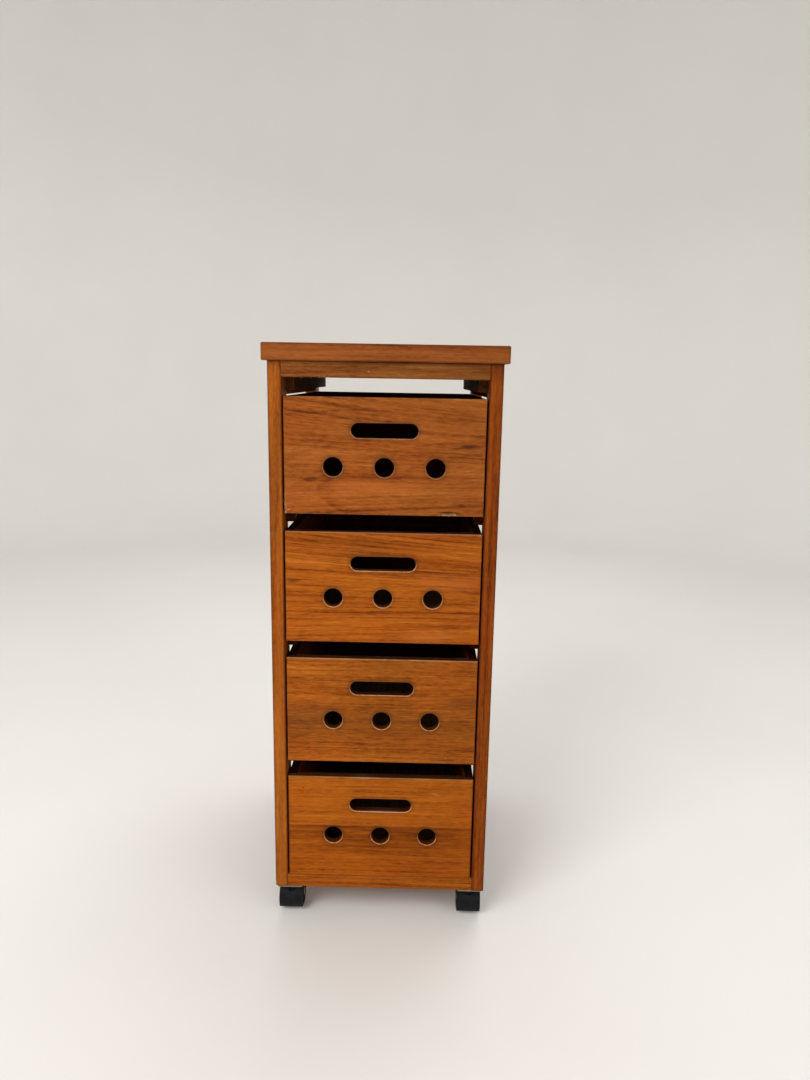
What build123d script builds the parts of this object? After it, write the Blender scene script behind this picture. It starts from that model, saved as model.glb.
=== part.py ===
from build123d import *
import os

# A slim drawer unit in millimetres: an open wooden frame with four crate drawers, on four castors.
# The floor is at z = 0, the front faces -Y, and the origin is under the middle of the top board.

# Carcass
carcass_width = 300.0
carcass_depth = 390.0
castor_height = 50.0  # floor to the underside of the posts
post_width = 17.5  # seen from the front
post_depth = 43.0  # front to back
side_rail_height = 43.0
end_rail_height = 20.5  # rails that tie the left and right posts
end_rail_thickness = 20.0
bottom_board_thickness = 19.5
top_board_thickness = 22.0
top_overhang = 7.0
top_corner_radius = 4.0
top_arris_radius = 2.0
arris_radius = 1.0  # eased long edges of posts, rails and boards

# Mortise and tenon joints
side_tenon_length = 20.0
side_tenon_thickness = 7.0
side_tenon_outer_shoulder = 14.0
side_tenon_inner_shoulder = 6.0
end_tenon_length = 12.0
end_tenon_thickness = 8.0
end_tenon_shoulder = 4.0
tongue_depth = 6.0
tongue_thickness = 6.0
tongue_end_gap = 2.0
joint_fit = 0.1
joint_end_gap = 0.5

# Runners, kickers and stops
runner_width = 12.0
runner_height = 16.2
runner_setback = 30.0  # carcass front to the front ends of runners and kickers
drawer_headroom = 7.5  # free height over each drawer
stop_height = 14.0
stop_length = 27.7  # carcass back to the front ends of the stop blocks
stop_gap = 0.3

# Drawers
upper_drawer_count = 3
drawer_height = 151.5
bottom_drawer_height = 154.0
drawer_side_gap = 2.5
drawer_front_thickness = 12.0
drawer_board_thickness = 12.0
drawer_arris_radius = 0.8
rabbet_depth = 6.0
groove_depth = 5.0
groove_rise = 8.0  # drawer's lower edge to the groove
panel_thickness = 4.0
panel_fit = 0.2

# Slot and holes in each drawer front
slot_length = 87.0
slot_height = 19.4
slot_drop = 32.5  # drawer's top edge to the slot's top
hole_diameter = 25.6
hole_drop = 89.5  # drawer's top edge to the hole centres
hole_spacing = 66.7
hole_count = 3
rim_radius = 0.5

# Wood screws
screw_radius = 2.0
screw_head_radius = 4.0
screw_length = 26.0
screw_inset = 6.5  # runner's front end to its first screw
back_screw_inset = 21.5  # carcass back to the runners' last screws
kicker_screw_spacing = 100.0
kicker_screw_count = 3
top_screw_spacing = 180.0
top_screw_bore_depth = 6.0
castor_screw_radius = 1.6
castor_screw_head_radius = 3.2
castor_screw_length = 12.0
screw_fit = 0.05
screw_sink = 0.1  # heads lie this far below the face
screw_tip_length = 3.0
cross_slot_width = 0.9
cross_slot_depth = 1.1

# Castors
castor_side_inset = 20.0  # carcass side to the kingpin
castor_end_inset = 19.5  # carcass front or back to the kingpin
plate_size = 36.0
plate_thickness = 2.5
plate_corner_radius = 3.0
plate_hole_spacing = 26.0
kingpin_radius = 3.5
kingpin_length = 21.0
kingpin_fit = 0.06
kingpin_end_gap = 0.5
boss_radius = 5.4
recess_radius = 7.0  # round recess in the hood that the boss stands in
recess_base = 30.0
thrust_gap = 0.3
castor_trail = 12.0  # kingpin to axle
wheel_radius = 20.0
wheel_width = 8.6
wheel_side_gap = 0.3
wheel_edge_radius = 2.0
wheel_dish_depth = 1.4
wheel_rim_width = 4.0
wheel_hub_radius = 8.0
axle_radius = 3.0
axle_fit = 0.06
axle_press_fit = 0.02
axle_head_radius = 5.0
axle_head_thickness = 1.0
axle_head_fit = 0.2
hood_core_width = 16.0
hood_core_radius = 15.0
hood_clearance = 1.0
hood_thickness = 2.0
hood_edge_radius = 0.8
hood_low_angle = 212.0  # lower edge on the kingpin's side, counted from the trailing side
hood_high_angle = 30.0  # lower edge on the trailing side

# Worked out from the sizes above
half_width = carcass_width / 2
half_depth = carcass_depth / 2
half_opening = half_width - post_width
post_inner_y = half_depth - post_depth
carcass_base = castor_height
board_top = carcass_base + bottom_board_thickness
drawer_heights = [drawer_height] * upper_drawer_count + [bottom_drawer_height]
drawer_bottoms = []
next_level = board_top
for height in reversed(drawer_heights):
    drawer_bottoms.insert(0, next_level)
    next_level += height + drawer_headroom + runner_height
end_rail_base = next_level
carcass_top = end_rail_base + end_rail_height
side_rail_bases = {"top": carcass_top - side_rail_height, "bottom": carcass_base}
runner_inner = half_opening - runner_width
runner_front = -half_depth + runner_setback
kicker_base = drawer_bottoms[0] + drawer_heights[0] + drawer_headroom
drawer_half_width = half_opening - drawer_side_gap
drawer_half_inside = drawer_half_width - drawer_board_thickness
drawer_front_y = -half_depth
stop_front_y = half_depth - stop_length
drawer_back_y = stop_front_y - stop_gap
drawer_front_inner_y = drawer_front_y + drawer_front_thickness
screw_ys = [runner_front + screw_inset, half_depth - back_screw_inset]
kicker_screw_z = (kicker_base + carcass_top) / 2
end_rail_center_y = half_depth - end_rail_thickness / 2
hood_inner_radius = wheel_radius + hood_clearance
hood_outer_radius = hood_inner_radius + hood_thickness
hood_half_width = hood_core_width / 2 + wheel_width + 2 * wheel_side_gap
wheel_inner_x = hood_core_width / 2 + wheel_side_gap
plate_base = castor_height - plate_thickness
sink_radius = screw_head_radius + screw_sink + screw_fit
castor_sink_radius = castor_screw_head_radius + screw_sink + screw_fit
castor_places = {
    "front_left": (-half_width + castor_side_inset, -half_depth + castor_end_inset, 1),
    "front_right": (half_width - castor_side_inset, -half_depth + castor_end_inset, 1),
    "back_left": (-half_width + castor_side_inset, half_depth - castor_end_inset, -1),
    "back_right": (half_width - castor_side_inset, half_depth - castor_end_inset, -1),
}
sides = {"left": -1, "right": 1}
ends = {"front": -1, "back": 1}


def span(a, b):
    """Two limits on one axis, the lower one first."""
    return (min(a, b), max(a, b))


def bar(x, y, z, mode=Mode.ADD):
    """A square bar between the limits x, y and z, added to or cut from the part in hand."""
    with BuildSketch(Plane.XY.offset(z[0])) as section:
        with Locations(((x[0] + x[1]) / 2, (y[0] + y[1]) / 2)):
            Rectangle(x[1] - x[0], y[1] - y[0])
    extrude(section.sketch, amount=z[1] - z[0], mode=mode)


def save(part, name):
    """Label a finished piece and write its file."""
    part.label = name
    export_step(part, "parts/" + name + ".step")


def side_tenon_heights(level):
    """Lower and upper edge of a side rail's tenons; the wide shoulder is at the carcass's end."""
    base = side_rail_bases[level]
    if level == "top":
        return (base + side_tenon_inner_shoulder, base + side_rail_height - side_tenon_outer_shoulder)
    return (base + side_tenon_outer_shoulder, base + side_rail_height - side_tenon_inner_shoulder)


def side_tenon_xs(side, slack):
    """Faces of a side rail's tenons, which stand in the middle of the post's width."""
    middle = side * (half_opening + half_width) / 2
    return (middle - side_tenon_thickness / 2 - slack, middle + side_tenon_thickness / 2 + slack)


def end_tenon_limits(side, end, slack, end_gap):
    """Limits of the tenon by which an end rail stands in a post."""
    x = span(side * half_opening, side * (half_opening + end_tenon_length + end_gap))
    middle = end * end_rail_center_y
    y = (middle - end_tenon_thickness / 2 - slack, middle + end_tenon_thickness / 2 + slack)
    z = (end_rail_base + end_tenon_shoulder - slack, carcass_top - end_tenon_shoulder + slack)
    return x, y, z


def face_plane(x, y, z, outward):
    """A plane on a face, for a hole that is drilled against its outward direction."""
    return Plane(origin=(x, y, z), z_dir=outward)


def runner_screw_planes(side, index, face_x):
    """Where the two screws of one runner cross the upright face at face_x."""
    z = drawer_bottoms[index] - runner_height / 2
    return [face_plane(side * face_x, y, z, (-side, 0, 0)) for y in screw_ys]


def kicker_screw_planes(side, face_x):
    """Where the screws of one kicker cross the upright face at face_x."""
    first = -kicker_screw_spacing * (kicker_screw_count - 1) / 2
    ys = [first + kicker_screw_spacing * step for step in range(kicker_screw_count)]
    return [face_plane(side * face_x, y, kicker_screw_z, (-side, 0, 0)) for y in ys]


def top_screw_planes(end, face_z):
    """Where the two screws of one end rail cross the level face at face_z, seen from below."""
    xs = [-top_screw_spacing / 2, top_screw_spacing / 2]
    return [face_plane(x, end * end_rail_center_y, face_z, (0, 0, -1)) for x in xs]


def castor_screw_planes(place, face_z):
    """Where the four screws of one castor plate cross the level face at face_z, seen from below."""
    reach = plate_hole_spacing / 2
    corners = [(place[0] + dx, place[1] + dy) for dx in (-reach, reach) for dy in (-reach, reach)]
    return [face_plane(x, y, face_z, (0, 0, -1)) for x, y in corners]


def make_screw(radius, head_radius, length):
    """A countersunk cross-slot screw with its head's face on the XY plane and its tip below."""
    with BuildPart() as screw:
        with BuildSketch(Plane.XZ):
            with BuildLine():
                Polyline(
                    (0, 0),
                    (head_radius, 0),
                    (radius, -(head_radius - radius)),
                    (radius, -length + screw_tip_length),
                    (0, -length),
                    close=True,
                )
            make_face()
        revolve(axis=Axis.Z)
        with BuildSketch(Plane.XY):
            Rectangle(head_radius, cross_slot_width)
            Rectangle(cross_slot_width, head_radius)
        extrude(amount=-cross_slot_depth, mode=Mode.SUBTRACT)
    return screw.part


def make_screw_group(screw, planes):
    """Copies of one screw, each with its head just below its face."""
    with BuildPart() as group:
        for plane in planes:
            add(plane.offset(-screw_sink).location * screw)
    return group.part


def make_top_board():
    """The top board, with pilot holes for the screws that come up through the end rails."""
    reach_x = half_width + top_overhang
    reach_y = half_depth + top_overhang
    pilot = screw_length - (end_rail_height - top_screw_bore_depth) + joint_end_gap
    with BuildPart() as board:
        bar((-reach_x, reach_x), (-reach_y, reach_y), (carcass_top, carcass_top + top_board_thickness))
        fillet(board.edges().filter_by(Axis.Z), top_corner_radius)
        fillet(board.faces().sort_by(Axis.Z)[-1].edges(), top_arris_radius)
        fillet(board.faces().sort_by(Axis.Z)[0].edges(), arris_radius)
        for end in ends.values():
            with Locations(*top_screw_planes(end, carcass_top)):
                Hole(screw_radius + screw_fit, pilot)
    return board.part


def make_post(side, end):
    """A corner post with its mortises and with pilot holes for runners and castor plate."""
    post_x = span(side * half_opening, side * half_width)
    near_y = end * post_inner_y
    mortise_y = span(near_y, near_y + end * (side_tenon_length + joint_end_gap))
    pilot = screw_length - runner_width + joint_end_gap
    castor_pilot = castor_screw_length - plate_thickness + joint_end_gap
    screw_y = screw_ys[0] if end < 0 else screw_ys[1]
    with BuildPart() as post:
        bar(post_x, span(near_y, end * half_depth), (carcass_base, carcass_top))
        fillet(post.edges().filter_by(Axis.Z), arris_radius)
        for level in side_rail_bases:
            low, high = side_tenon_heights(level)
            bar(side_tenon_xs(side, joint_fit), mortise_y, (low - joint_fit, high + joint_fit), Mode.SUBTRACT)
        bar(*end_tenon_limits(side, end, joint_fit, joint_end_gap), Mode.SUBTRACT)
        for index in range(upper_drawer_count):
            planes = runner_screw_planes(side, index, half_opening)
            with Locations(*[plane for plane in planes if plane.origin.Y == screw_y]):
                Hole(screw_radius + screw_fit, pilot)
        for place in castor_places.values():
            for plane in castor_screw_planes(place, carcass_base):
                in_x = half_opening < side * plane.origin.X < half_width
                in_y = post_inner_y < end * plane.origin.Y < half_depth
                if in_x and in_y:
                    with Locations(plane):
                        Hole(castor_screw_radius + screw_fit, castor_pilot)
    return post.part


def make_side_rail(side, level):
    """A rail between the front and back posts of one side, with a tenon on each end."""
    base = side_rail_bases[level]
    reach = post_inner_y
    board_middle = carcass_base + bottom_board_thickness / 2
    groove_x = span(side * half_opening, side * (half_opening + tongue_depth + joint_end_gap))
    pilot = screw_length - runner_width + joint_end_gap
    with BuildPart() as rail:
        bar(span(side * half_opening, side * half_width), (-reach, reach), (base, base + side_rail_height))
        fillet(rail.edges().filter_by(Axis.Y), arris_radius)
        tenon_reach = reach + side_tenon_length
        bar(side_tenon_xs(side, 0), (-tenon_reach, tenon_reach), side_tenon_heights(level))
        if level == "bottom":
            half_groove = tongue_thickness / 2 + joint_fit
            groove_z = (board_middle - half_groove, board_middle + half_groove)
            bar(groove_x, (-reach, reach), groove_z, Mode.SUBTRACT)
        else:
            with Locations(*kicker_screw_planes(side, half_opening)):
                Hole(screw_radius + screw_fit, pilot)
    return rail.part


def make_end_rail(end):
    """The rail that ties the left and right posts under the top board."""
    outer_y = end * half_depth
    rail_y = span(outer_y - end * end_rail_thickness, outer_y)
    with BuildPart() as rail:
        bar((-half_opening, half_opening), rail_y, (end_rail_base, carcass_top))
        fillet(rail.edges().filter_by(Axis.X), arris_radius)
        for side in sides.values():
            bar(*end_tenon_limits(side, end, 0, 0))
        with Locations(*top_screw_planes(end, end_rail_base)):
            Hole(sink_radius, top_screw_bore_depth)
        with Locations(*top_screw_planes(end, end_rail_base + top_screw_bore_depth)):
            CounterSinkHole(screw_radius + screw_fit, sink_radius, counter_sink_angle=90)
    return rail.part


def make_bottom_board():
    """The board that the lowest drawer runs on, with a tongue on each side and castor pilots."""
    middle = carcass_base + bottom_board_thickness / 2
    tongue_reach = half_opening + tongue_depth
    tongue_y = post_inner_y - tongue_end_gap
    castor_pilot = castor_screw_length - plate_thickness + joint_end_gap
    with BuildPart() as board:
        bar((-half_opening, half_opening), (-half_depth, half_depth), (carcass_base, board_top))
        fillet(board.edges().filter_by(Axis.X), arris_radius)
        tongue_z = (middle - tongue_thickness / 2, middle + tongue_thickness / 2)
        bar((-tongue_reach, tongue_reach), (-tongue_y, tongue_y), tongue_z)
        for place in castor_places.values():
            for plane in castor_screw_planes(place, carcass_base):
                if abs(plane.origin.X) < half_opening:
                    with Locations(plane):
                        Hole(castor_screw_radius + screw_fit, castor_pilot)
    return board.part


def make_kicker(side):
    """The rail over the top drawer's side, notched under the back end rail."""
    kicker_x = span(side * runner_inner, side * half_opening)
    notch_y = half_depth - end_rail_thickness
    with BuildPart() as kicker:
        bar(kicker_x, (runner_front, half_depth), (kicker_base, carcass_top))
        fillet(kicker.edges().filter_by(Axis.Y).sort_by(Axis.Z)[:2], arris_radius)
        bar(kicker_x, (notch_y, half_depth), (end_rail_base, carcass_top), Mode.SUBTRACT)
        with Locations(*kicker_screw_planes(side, runner_inner)):
            CounterSinkHole(screw_radius + screw_fit, sink_radius, counter_sink_angle=90)
    return kicker.part


def make_runner(side, index):
    """The strip that carries one side of a drawer, screwed to the posts."""
    top = drawer_bottoms[index]
    inner_face = 0 if side > 0 else -1
    with BuildPart() as runner:
        runner_x = span(side * runner_inner, side * half_opening)
        bar(runner_x, (runner_front, half_depth), (top - runner_height, top))
        fillet(runner.edges().filter_by(Axis.Y).group_by(Axis.X)[inner_face], arris_radius)
        with Locations(*runner_screw_planes(side, index, runner_inner)):
            CounterSinkHole(screw_radius + screw_fit, sink_radius, counter_sink_angle=90)
    return runner.part


def make_stop_blocks():
    """A block behind each side of each drawer, glued to the runner or the bottom board."""
    with BuildPart() as blocks:
        for bottom in drawer_bottoms:
            for side in sides.values():
                stop_x = span(side * runner_inner, side * half_opening)
                bar(stop_x, (stop_front_y, half_depth), (bottom, bottom + stop_height))
    return blocks.part


def make_drawer_front(index):
    """A drawer front with its hand slot and round holes, rabbeted for the sides."""
    low = drawer_bottoms[index]
    high = low + drawer_heights[index]
    rabbet_y = (drawer_front_inner_y - rabbet_depth, drawer_front_inner_y)
    groove_y = (drawer_front_inner_y - groove_depth, drawer_front_inner_y)
    groove_z = (low + groove_rise, low + groove_rise + panel_thickness + panel_fit)
    groove_x = drawer_half_inside + groove_depth
    with BuildPart() as front:
        with BuildSketch(Plane.XZ.offset(-drawer_front_y)):
            with Locations((0, (low + high) / 2)):
                Rectangle(2 * drawer_half_width, high - low)
            with Locations((0, high - slot_drop - slot_height / 2)):
                SlotOverall(slot_length, slot_height, mode=Mode.SUBTRACT)
            with Locations((0, high - hole_drop)):
                with GridLocations(hole_spacing, hole_spacing, hole_count, 1):
                    Circle(hole_diameter / 2, mode=Mode.SUBTRACT)
        extrude(amount=-drawer_front_thickness)
        front_face = front.faces().sort_by(Axis.Y)[0]
        fillet(front_face.outer_wire().edges(), drawer_arris_radius)
        front_face = front.faces().sort_by(Axis.Y)[0]
        fillet([edge for wire in front_face.inner_wires() for edge in wire.edges()], rim_radius)
        back_face = front.faces().sort_by(Axis.Y)[-1]
        fillet([edge for wire in back_face.inner_wires() for edge in wire.edges()], rim_radius)
        for side in sides.values():
            rabbet_x = span(side * drawer_half_inside, side * drawer_half_width)
            bar(rabbet_x, rabbet_y, (low, high), Mode.SUBTRACT)
        bar((-groove_x, groove_x), groove_y, groove_z, Mode.SUBTRACT)
    return front.part


def make_drawer_side(index, side):
    """A drawer side, grooved for the bottom and rabbeted for the back."""
    low = drawer_bottoms[index]
    high = low + drawer_heights[index]
    inner_x = side * drawer_half_inside
    side_y = (drawer_front_inner_y - rabbet_depth, drawer_back_y)
    rabbet_x = span(inner_x, inner_x + side * rabbet_depth)
    rabbet_y = (drawer_back_y - drawer_board_thickness, drawer_back_y)
    groove_x = span(inner_x, inner_x + side * groove_depth)
    groove_z = (low + groove_rise, low + groove_rise + panel_thickness + panel_fit)
    with BuildPart() as board:
        bar(span(inner_x, side * drawer_half_width), side_y, (low, high))
        fillet(board.edges().filter_by(Axis.Y).sort_by(Axis.Z)[-2:], drawer_arris_radius)
        bar(rabbet_x, rabbet_y, (low, high), Mode.SUBTRACT)
        bar(groove_x, side_y, groove_z, Mode.SUBTRACT)
    return board.part


def make_drawer_back(index):
    """A drawer back, which stands on the bottom panel between the sides."""
    low = drawer_bottoms[index] + groove_rise + panel_thickness + panel_fit
    high = drawer_bottoms[index] + drawer_heights[index]
    reach = drawer_half_inside + rabbet_depth
    with BuildPart() as board:
        bar((-reach, reach), (drawer_back_y - drawer_board_thickness, drawer_back_y), (low, high))
        fillet(board.edges().filter_by(Axis.X).sort_by(Axis.Z)[-2:], drawer_arris_radius)
    return board.part


def make_drawer_bottom(index):
    """A thin panel that slides into the grooves from behind, under the back."""
    low = drawer_bottoms[index] + groove_rise
    reach = drawer_half_inside + groove_depth - panel_fit
    front_y = drawer_front_inner_y - groove_depth + panel_fit
    with BuildPart() as panel:
        bar((-reach, reach), (front_y, drawer_back_y), (low, low + panel_thickness))
    return panel.part


def castor_side_plane(place):
    """The upright plane through a castor's middle: x runs to the trailing side, y runs up."""
    x, y, trailing = place
    return Plane(origin=(x, y, 0), x_dir=(0, trailing, 0), z_dir=(trailing, 0, 0))


def make_castor_plates():
    """The four screw plates, each with its riveted kingpin."""
    castor_bore = castor_screw_radius + screw_fit
    with BuildPart() as plates:
        for place in castor_places.values():
            x, y, _ = place
            with BuildSketch(Plane.XY.offset(plate_base)):
                with Locations((x, y)):
                    RectangleRounded(plate_size, plate_size, plate_corner_radius)
            extrude(amount=plate_thickness)
            with BuildSketch(Plane.XY.offset(plate_base - kingpin_length)):
                with Locations((x, y)):
                    Circle(kingpin_radius)
            extrude(amount=kingpin_length)
        for place in castor_places.values():
            with Locations(*castor_screw_planes(place, plate_base)):
                CounterSinkHole(castor_bore, castor_sink_radius, plate_thickness, counter_sink_angle=90)
    return plates.part


def make_castor_hood(place):
    """A hood: core between the wheels, shell over them, and the boss in its recess."""
    x, y, _ = place
    boss_top = plate_base - thrust_gap
    bore_depth = kingpin_length - thrust_gap + kingpin_end_gap
    center = (castor_trail, wheel_radius)
    sweep = hood_low_angle - hood_high_angle
    with BuildPart() as hood:
        with BuildSketch(castor_side_plane(place)):
            with BuildLine():
                inner = CenterArc(center, hood_inner_radius, hood_high_angle, sweep)
                outer = CenterArc(center, hood_outer_radius, hood_high_angle, sweep)
                Line(inner @ 0, outer @ 0)
                Line(inner @ 1, outer @ 1)
            make_face()
        extrude(amount=hood_half_width, both=True)
        fillet(hood.edges().filter_by(GeomType.CIRCLE), hood_edge_radius)
        with BuildSketch(castor_side_plane(place)):
            with BuildLine():
                rim = CenterArc(center, (hood_inner_radius + hood_outer_radius) / 2, hood_high_angle, sweep)
                Line(center, rim @ 0)
                Line(rim @ 1, center)
            make_face()
            with Locations(center):
                Circle(hood_core_radius)
        extrude(amount=hood_core_width / 2, both=True)
        with BuildSketch(Plane.XY.offset(recess_base)):
            with Locations((x, y)):
                Circle(recess_radius)
        extrude(amount=boss_top - recess_base, mode=Mode.SUBTRACT)
        with BuildSketch(Plane.XY.offset(boss_top - bore_depth - kingpin_end_gap)):
            with Locations((x, y)):
                Circle(boss_radius)
        extrude(amount=bore_depth + kingpin_end_gap)
        with Locations(face_plane(x, y, boss_top, (0, 0, 1))):
            Hole(kingpin_radius + kingpin_fit, bore_depth)
        with BuildSketch(castor_side_plane(place)):
            with Locations(center):
                Circle(axle_radius + axle_press_fit)
        extrude(amount=hood_core_width, both=True, mode=Mode.SUBTRACT)
    return hood.part


def make_castor_axle(place):
    """An axle with a flat head over each wheel's hub."""
    x, y, trailing = place
    head_outer = wheel_inner_x + wheel_width
    shank = head_outer - axle_head_thickness
    with BuildPart() as axle:
        with BuildSketch(castor_side_plane(place)):
            with Locations((castor_trail, wheel_radius)):
                Circle(axle_radius)
        extrude(amount=head_outer, both=True)
        for side in sides.values():
            head_seat = (x + side * shank, y + trailing * castor_trail, wheel_radius)
            with BuildSketch(Plane(origin=head_seat, z_dir=(side, 0, 0))):
                Circle(axle_head_radius)
            extrude(amount=axle_head_thickness)
    return axle.part


def make_castor_wheel(place, side):
    """One wheel of a pair, dished outside between its rim and its hub."""
    x, y, trailing = place
    axis_start = (x, y + trailing * castor_trail, wheel_radius)
    inner_x = wheel_inner_x
    outer_x = wheel_inner_x + wheel_width
    seat_x = outer_x - axle_head_thickness - axle_head_fit
    bore = axle_radius + axle_fit
    dish_outer = wheel_radius - wheel_rim_width
    head_bore = axle_head_radius + axle_head_fit
    profile_plane = Plane(origin=axis_start, x_dir=(side, 0, 0), z_dir=(0, -side, 0))
    with BuildPart() as wheel:
        with BuildSketch(profile_plane):
            with BuildLine():
                Polyline(
                    (inner_x, bore),
                    (seat_x, bore),
                    (seat_x, head_bore),
                    (outer_x, head_bore),
                    (outer_x, wheel_hub_radius),
                    (outer_x - wheel_dish_depth, wheel_hub_radius),
                    (outer_x - wheel_dish_depth, dish_outer),
                    (outer_x, dish_outer),
                    (outer_x, wheel_radius),
                    (inner_x, wheel_radius),
                    close=True,
                )
            make_face()
        revolve(axis=Axis(axis_start, (1, 0, 0)))
        tread_edges = wheel.edges().filter_by(GeomType.CIRCLE).group_by(SortBy.RADIUS)[-1]
        fillet(tread_edges, wheel_edge_radius)
    return wheel.part


def all_screw_planes():
    """The head planes of every wood screw in the carcass."""
    planes = []
    for side in sides.values():
        for index in range(upper_drawer_count):
            planes += runner_screw_planes(side, index, runner_inner)
        planes += kicker_screw_planes(side, runner_inner)
    for end in ends.values():
        planes += top_screw_planes(end, end_rail_base + top_screw_bore_depth)
    return planes


os.makedirs("parts", exist_ok=True)

# Frame
save(make_top_board(), "top_board")
save(make_bottom_board(), "bottom_board")
for end_name, end in ends.items():
    save(make_end_rail(end), "top_rail_" + end_name)
    for side_name, side in sides.items():
        save(make_post(side, end), end_name + "_post_" + side_name)
for side_name, side in sides.items():
    for level in side_rail_bases:
        save(make_side_rail(side, level), "side_rail_" + level + "_" + side_name)
    save(make_kicker(side), "kicker_" + side_name)
    for index in range(upper_drawer_count):
        save(make_runner(side, index), "runner_" + str(index + 1) + "_" + side_name)
save(make_stop_blocks(), "drawer_stop_blocks")

# Screws
wood_screw = make_screw(screw_radius, screw_head_radius, screw_length)
save(make_screw_group(wood_screw, all_screw_planes()), "wood_screws")
castor_screw = make_screw(castor_screw_radius, castor_screw_head_radius, castor_screw_length)
castor_planes = []
for place in castor_places.values():
    castor_planes += castor_screw_planes(place, plate_base)
save(make_screw_group(castor_screw, castor_planes), "castor_screws")

# Drawers
for index in range(len(drawer_heights)):
    drawer_name = "drawer_" + str(index + 1)
    save(make_drawer_front(index), drawer_name + "_front")
    for side_name, side in sides.items():
        save(make_drawer_side(index, side), drawer_name + "_side_" + side_name)
    save(make_drawer_back(index), drawer_name + "_back")
    save(make_drawer_bottom(index), drawer_name + "_bottom")

# Castors
save(make_castor_plates(), "castor_plates")
for place_name, place in castor_places.items():
    castor_name = "castor_" + place_name
    save(make_castor_hood(place), castor_name + "_hood")
    save(make_castor_axle(place), castor_name + "_axle")
    for side_name, side in sides.items():
        save(make_castor_wheel(place, side), castor_name + "_wheel_" + side_name)
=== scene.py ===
"""Looks of the slim drawer unit: wood, plastic and steel finishes, castors, studio and camera."""
import logging
import math
from dataclasses import dataclass
from enum import Enum
from typing import Iterable, Optional, Sequence, Union

import bmesh
import bpy
from mathutils import Matrix, Vector, noise


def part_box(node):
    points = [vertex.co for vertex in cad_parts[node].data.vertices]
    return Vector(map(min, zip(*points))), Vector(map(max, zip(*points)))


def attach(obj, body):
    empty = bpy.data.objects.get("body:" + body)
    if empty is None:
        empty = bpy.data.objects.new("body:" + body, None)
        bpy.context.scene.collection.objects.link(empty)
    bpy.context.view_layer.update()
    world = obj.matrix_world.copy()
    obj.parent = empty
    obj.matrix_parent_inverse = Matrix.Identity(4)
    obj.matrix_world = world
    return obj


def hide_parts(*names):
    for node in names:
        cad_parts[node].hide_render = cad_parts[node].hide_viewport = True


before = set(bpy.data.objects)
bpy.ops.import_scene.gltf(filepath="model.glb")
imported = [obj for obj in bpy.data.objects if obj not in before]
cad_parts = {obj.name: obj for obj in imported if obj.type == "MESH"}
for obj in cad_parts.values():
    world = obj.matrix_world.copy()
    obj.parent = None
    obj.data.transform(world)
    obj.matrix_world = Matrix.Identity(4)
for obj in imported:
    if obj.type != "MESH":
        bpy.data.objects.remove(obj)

LOG = logging.getLogger("drawer_unit")
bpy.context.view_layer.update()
MM = 0.001

Rgb = tuple[float, float, float]
Point = tuple[float, float, float]
Source = Union["Value", "Field", float, int, Sequence[float], bpy.types.NodeSocket]


# Shader maths


class Value:
    """A number that varies over a surface, with Python's own operators."""

    def __init__(self, nodes: "Nodes", socket: bpy.types.NodeSocket) -> None:
        """Keep the tree's maker and the socket that gives the number."""
        self.nodes = nodes
        self.socket = socket

    def math(self, operation: str, *terms: Source) -> "Value":
        """Add one Math node.

        Args:
            operation: the Math node's operation.
            terms: what goes into its inputs, in order.

        Returns:
            The node's result.
        """
        node = self.nodes.add("ShaderNodeMath", {"operation": operation}, dict(enumerate(terms)))
        return Value(self.nodes, node.outputs[0])

    def __add__(self, other: Source) -> "Value":
        """Sum of this and another number."""
        return self.math("ADD", self, other)

    __radd__ = __add__

    def __sub__(self, other: Source) -> "Value":
        """This less another number."""
        return self.math("SUBTRACT", self, other)

    def __rsub__(self, other: Source) -> "Value":
        """Another number less this."""
        return self.math("SUBTRACT", other, self)

    def __mul__(self, other: Source) -> "Value":
        """Product of this and another number."""
        return self.math("MULTIPLY", self, other)

    __rmul__ = __mul__

    def __truediv__(self, other: Source) -> "Value":
        """This divided by another number."""
        return self.math("DIVIDE", self, other)

    def __abs__(self) -> "Value":
        """Size without sign."""
        return self.math("ABSOLUTE", self)

    def least(self, other: Source) -> "Value":
        """The smaller of this and another number."""
        return self.math("MINIMUM", self, other)

    def most(self, other: Source) -> "Value":
        """The larger of this and another number."""
        return self.math("MAXIMUM", self, other)

    def root(self) -> "Value":
        """Square root."""
        return self.math("SQRT", self)

    def whole(self) -> "Value":
        """Whole part."""
        return self.math("FLOOR", self)

    def part(self) -> "Value":
        """Part after the point."""
        return self.math("FRACT", self)

    def rise(self, low: float, high: float, bottom: float = 0.0, top: float = 1.0) -> "Value":
        """Go smoothly from one number to another while this goes from low to high.

        Args:
            low: where the rise starts.
            high: where it ends.
            bottom: result up to low.
            top: result from high on.

        Returns:
            The smoothed number.
        """
        settings = {"interpolation_type": "SMOOTHSTEP", "clamp": True}
        inputs = {"Value": self, "From Min": low, "From Max": high, "To Min": bottom, "To Max": top}
        node = self.nodes.add("ShaderNodeMapRange", settings, inputs)
        return Value(self.nodes, node.outputs["Result"])


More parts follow.
